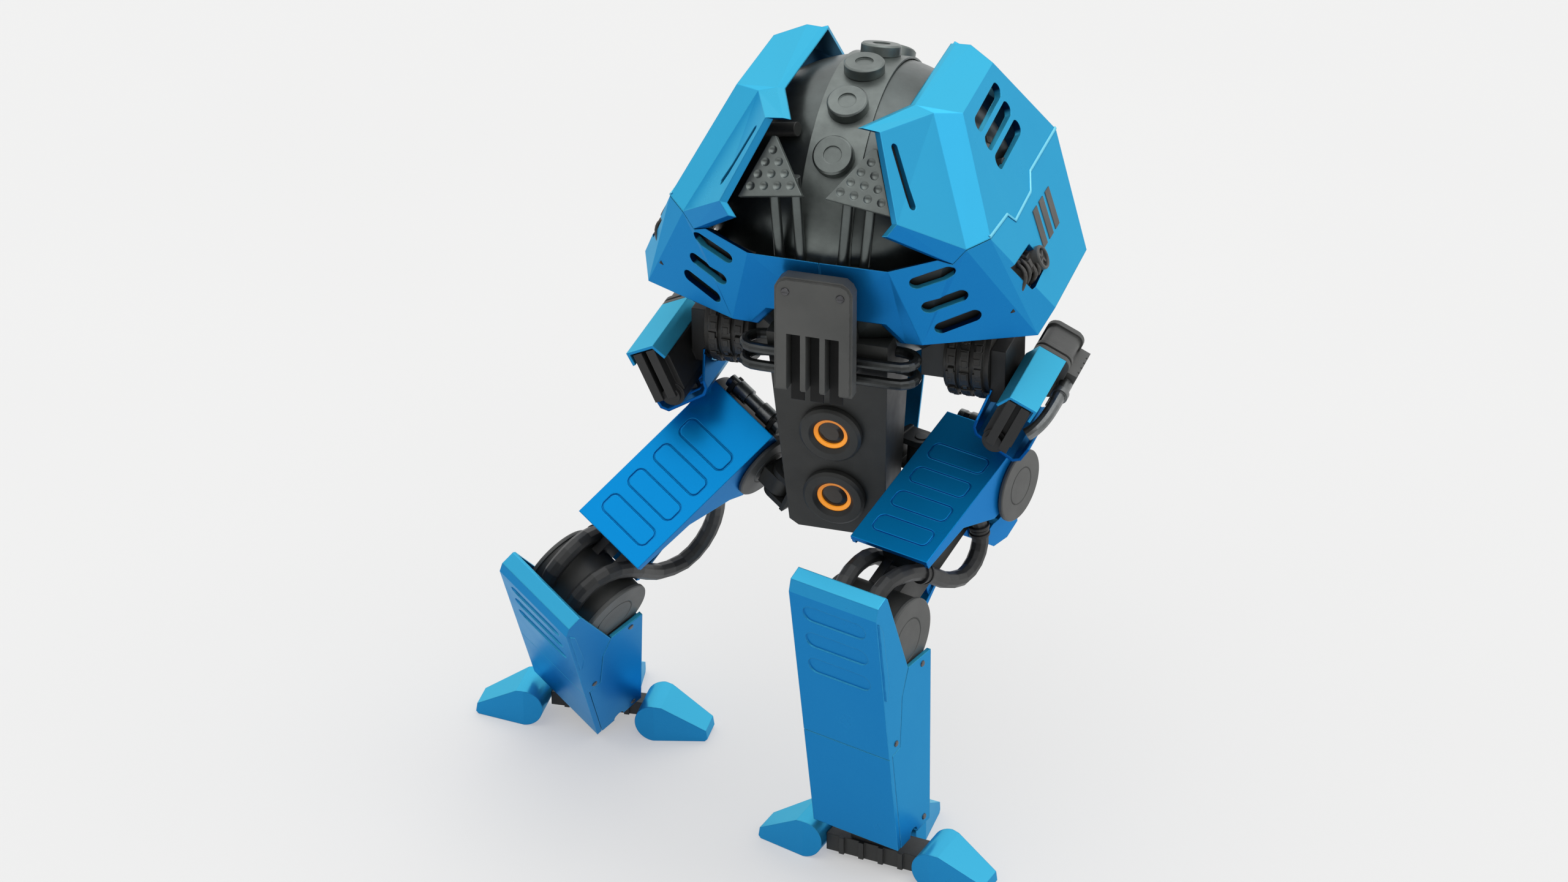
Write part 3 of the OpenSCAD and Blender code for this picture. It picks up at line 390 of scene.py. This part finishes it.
for side, tag in ((1, "r"), (-1, "l")):
    n, up = flip(SIDE_N, side), flip(SIDE_V, side)
    # painted highlight: a raised light cyan strip standing for the lit edge of the upper armour over the stepped seam
    bm = bmesh.new()
    ribbon(bm, [at(*q, side) for q in SEAM], n, up, 0.0013, 0.0004)
    piece("seam_highlight_" + tag, bm, "trim_paint", "torso")
    # plain slanted stripes on the side plate
    bm = bmesh.new()
    for k in range(3):
        u0 = -10.5 + 8.4 * k
        outline = [(u0, -6.5), (u0 + 5.2, -6.5), (u0 + 10.4, 6.5), (u0 + 5.2, 6.5)]
        o = at(66.6, 0, 3.6, side)
        plate(bm, [o + BACK * a * MM + up * b * MM for a, b in outline], n, -0.0003, 0.00016, 0.0001)
    piece("side_stripes_" + tag, bm, "grey_plastic", "torso")
    # machined works behind the diamond window
    bm = bmesh.new()
    window = at(69, -29, -1.3, side)

    def w(u, v, h):
        return window + BACK * u * MM + up * v * MM + n * h * MM

    for k in range(9):
        u, v = -6 + 17 * rnd(k), -5 + 10 * rnd(k, 2)
        a, b = 1.2 + 1.6 * rnd(k, 3), 1.0 + 1.2 * rnd(k, 4)
        plate(bm, patch(w(u, v, 0), BACK, up, a * MM, b * MM), n, -0.0085, -0.0055 + 0.0062 * rnd(k, 5))
    for k in range(5):
        u, v = -8 + 4.2 * k, -5 + 3 * rnd(k, 6)
        route = [w(u, -7, -6.4), w(u + 1.5, v, -0.6 + k * 0.3), w(u + 4, v + 4, -0.2), w(u + 7, 6.0, -6.2)]
        tube(bm, route, 0.0009)
    piece("window_works_" + tag, bm, "cast_metal", "torso")
    bm = bmesh.new()
    knob = w(11.8, -1.6, 0)
    lathe(bm, knob, n, [(0.0045, -0.0062), (0.0045, 0.0012), (0.0042, 0.0017), (0.0035, 0.0017),
                        (0.0033, 0.0012), (0.0033, 0.0004), (0.0, 0.0004)])
    for a in (0.6, 2.17):
        d = BACK * math.cos(a) + up * math.sin(a)
        plate(bm, patch(knob, d, n.cross(d), 0.003, 0.0005), n, 0.0002, 0.0011, 0.00005)
    piece("window_knob_" + tag, bm, "grey_plastic", "torso")
    # small fittings on the core behind the side slots
    bm = bmesh.new()
    for k in range(14):
        th, ph = math.radians(4 + 38 * rnd(k, 7)), math.radians(-22 + 40 * rnd(k, 8))
        d = Vector((side * math.cos(th) * math.cos(ph), math.sin(ph), math.sin(th)))
        base = CORE + d * 0.0558
        e = d.orthogonal().normalized()
        f = d.cross(e)
        a, b = 0.0008 + 0.0012 * rnd(k, 9), 0.0006 + 0.0009 * rnd(k, 3)
        plate(bm, patch(base, e, f, a, b), d, -0.0006, 0.0004 + 0.0005 * rnd(k, 4), 0.0002)
    piece("core_fittings_" + tag, bm, "cast_metal", "torso")
    # painted shade: a near-black sheet behind the long cheek slot, standing in for the shade inside it
    bm = bmesh.new()
    a, b = at(26.3, -54.3, 53.4, side), at(36.1, -63.7, 33, side)
    cn = flip(CHEEK_N, side)
    across = cn.cross((b - a).normalized()) * 0.0022
    along = (b - a).normalized() * 0.0008
    plate(bm, [a - along - across, b + along - across, b + along + across, a - along + across],
          cn, -0.0046, -0.0034)
    piece("cheek_slot_shade_" + tag, bm, "soft_black", "torso")
    # rough cast lugs round the shoulder drum
    bm = bmesh.new()
    ex = Vector((1, 0, 0))
    for row, x in enumerate((40.2, 45.2, 50.2)):
        for k in range(24):
            i = k + 24 * row
            a = math.radians(15 * k + 7 * row + 6 * rnd(i))
            r = Vector((0, math.cos(a), math.sin(a)))
            t = Vector((0, -math.sin(a), math.cos(a)))
            c = at(x + 0.7 * (rnd(i, 2) - 0.5), -12, -46, side) + r * 0.0168
            la, lb = 0.0009 + 0.0008 * rnd(i, 3), 0.0007 + 0.0007 * rnd(i, 4)
            lug = [c - t * la - ex * lb, c + t * la - ex * lb * 0.8, c + t * la * 0.8 + ex * lb, c - t * la + ex * lb]
            plate(bm, lug, r, -0.0008, 0.0003 + 0.0002 * rnd(i, 5), 0.0002)
    piece("drum_lugs_" + tag, bm, "cast_metal", "arm_" + tag)

# painted shade: near-black sheets in the grille's slots, standing in for the shade deep inside them
bm = bmesh.new()
for x in GRILLE_X:
    plate(bm, [at(x + dx, -61.9, z) for dx, z in ((-2.5, -49.6), (2.5, -49.6), (2.5, -20.8), (-2.5, -20.8))],
          -BACK, -0.0004, 0.0003)
piece("grille_slot_shade", bm, "soft_black", "torso")

# leg frames: yaw, roll and thigh pitch at the hip, as in the CAD source
POSE = {1: (-14.6, 3, -68.2), -1: (-23, 26, -46.6)}
# where each outer hose leaves the cover and where it nears the knee, from the hip axis
HOSE = {1: (((10.8, 3, -20), (11.4, 10.5, -22)), ((10.2, -7, -55), (8.8, -16.5, -64))),
        -1: (((10.8, 6, -22.5), (11.6, 15.5, -28)), ((10.4, -4, -61.5), (8.8, -16.5, -67)))}
for side, tag in ((1, "r"), (-1, "l")):
    yaw, roll, pitch = (math.radians(v) for v in POSE[side])
    leg = (Matrix.Translation(at(47, -10.6, -97, side)) @ Matrix.Rotation(yaw, 4, "Z")
           @ Matrix.Rotation(roll, 4, "Y") @ Matrix.Diagonal((side, 1, 1, 1))
           @ Matrix.Rotation(pitch, 4, "X"))
    bm = bmesh.new()
    for ends in HOSE[side]:
        p, q = (leg @ (Vector(end) / 1000) for end in ends)
        d = (q - p).normalized()
        for k in range(3):
            r = 0.0039 - 0.0003 * (k % 2)
            sleeve = [(0.0031, 0), (r, 0.0002), (r, 0.0013), (0.0031, 0.0015)]
            lathe(bm, p + d * (0.0016 * k), d, sleeve, 24)
    piece("hose_sleeves_" + tag, bm, "black_plastic", "thigh_" + tag)

# ---------- floor and light ----------
FLOOR = 30.0  # half side of the floor
mesh = bpy.data.meshes.new("floor")
corners = [(x * FLOOR, y * FLOOR, 0) for x, y in ((-1, -1), (1, -1), (1, 1), (-1, 1))]
mesh.from_pydata(corners, [], [(0, 1, 2, 3)])
floor = bpy.data.objects.new("floor", mesh)
bpy.context.scene.collection.objects.link(floor)
floor.location.z = -0.0002
fm = Nodes("floor")
cloud = fm.noise(fm.coords(), 3, 2)
fm.link(fm.ramp(cloud, [(0.3, (0.415, 0.415, 0.412)), (0.7, (0.425, 0.425, 0.422))]), fm.bsdf.inputs["Base Color"])
fm.bsdf.inputs["Roughness"].default_value = 0.9
fm.bsdf.inputs["Emission Color"].default_value = (1, 1, 1, 1)
fm.bsdf.inputs["Emission Strength"].default_value = 0.40
fm.bsdf.inputs["Specular IOR Level"].default_value = 0.05
floor.data.materials.append(fm.mat)

# the studio is brighter above and behind than in front
world = bpy.data.worlds.new("studio")
bpy.context.scene.world = world
world.use_nodes = True
wt = world.node_tree
co = wt.nodes.new("ShaderNodeTexCoord")
dot = wt.nodes.new("ShaderNodeVectorMath")
dot.operation = "DOT_PRODUCT"
dot.inputs[1].default_value = (0.08, 0.72, 0.69)
grad = wt.nodes.new("ShaderNodeMapRange")
for sock, value in (("From Min", -0.6), ("From Max", 0.95), ("To Min", 0.16), ("To Max", 1.0)):
    grad.inputs[sock].default_value = value
wt.links.new(co.outputs["Generated"], dot.inputs[0])
wt.links.new(dot.outputs["Value"], grad.inputs["Value"])
wt.links.new(grad.outputs["Result"], wt.nodes["Background"].inputs["Strength"])
wt.nodes["Background"].inputs["Color"].default_value = (1.0, 1.0, 1.0, 1)


def sun(name, toward, strength, angle):
    """A wide soft light shining from the direction toward."""
    data = bpy.data.lights.new(name, "SUN")
    data.energy = strength
    data.angle = math.radians(angle)
    obj = bpy.data.objects.new(name, data)
    obj.rotation_euler = Vector(toward).to_track_quat("Z", "Y").to_euler()
    bpy.context.scene.collection.objects.link(obj)


sun("key", (0.5, -0.15, 1.0), 0.8, 80)
sun("top", (-0.35, -0.1, 1.0), 0.62, 100)
scene = bpy.context.scene
scene.view_settings.view_transform = "Standard"
scene.view_settings.look = "None"

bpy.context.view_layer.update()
